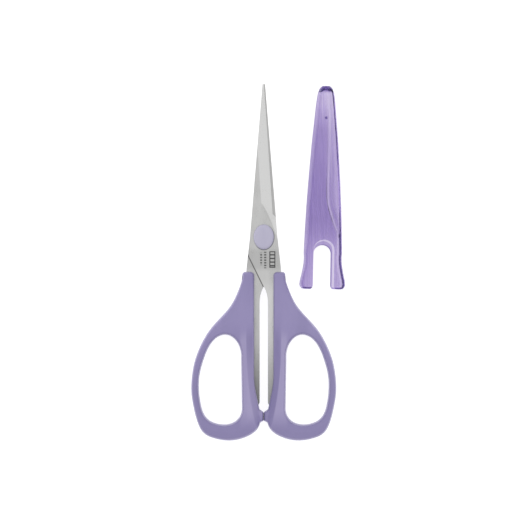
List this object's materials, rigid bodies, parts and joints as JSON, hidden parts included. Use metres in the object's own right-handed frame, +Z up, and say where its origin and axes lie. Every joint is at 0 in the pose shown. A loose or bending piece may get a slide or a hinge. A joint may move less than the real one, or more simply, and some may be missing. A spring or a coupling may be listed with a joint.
{
  "type": "craft scissors",
  "caption": "Pointed craft scissors with moulded finger loops, a capped pivot screw and a slide-on clear blade cover lying beside them.",
  "frame": {"origin": "middle of the whole part's box, on the table surface; the pivot axis stands 2 mm to the left and 11 mm towards the tips", "axes": "+X across the scissors towards the blade cover, +Y towards the blade tips, +Z up from the table along the pivot axis"},
  "size_m": [0.0686, 0.1597, 0.013],
  "materials": {
    "blade_steel": "fine lengthwise grain",
    "pivot_steel": "turned",
    "handle_plastic": "satin lavender",
    "cap_plastic": "satin pale lavender",
    "washer_plastic": "plain",
    "cover_plastic": "clear purple, polished"
  },
  "bodies": {
    "front_half": {"front_blade": "blade_steel", "front_handle": "handle_plastic", "pivot_screw": "pivot_steel", "pivot_nut": "pivot_steel", "spring_washer": "pivot_steel", "blade_washer": "washer_plastic", "front_cap": "cap_plastic", "rear_cap": "cap_plastic"},
    "back_half": {"back_blade": "blade_steel", "back_handle": "handle_plastic"},
    "cover": {"sheath": "cover_plastic"}
  },
  "joints": [
    {"name": "pivot", "type": "hinge", "parent": "front_half", "child": "back_half", "pos_m": [-0.00186, 0.01135, 0.0065], "axis": [0, 0, -1], "range_deg": [0, 60]},
    {"name": "cover_slide", "type": "slide", "parent": "front_half", "child": "cover", "axis": [0, 1, 0], "range_m": [0, 0.1]}
  ]
}
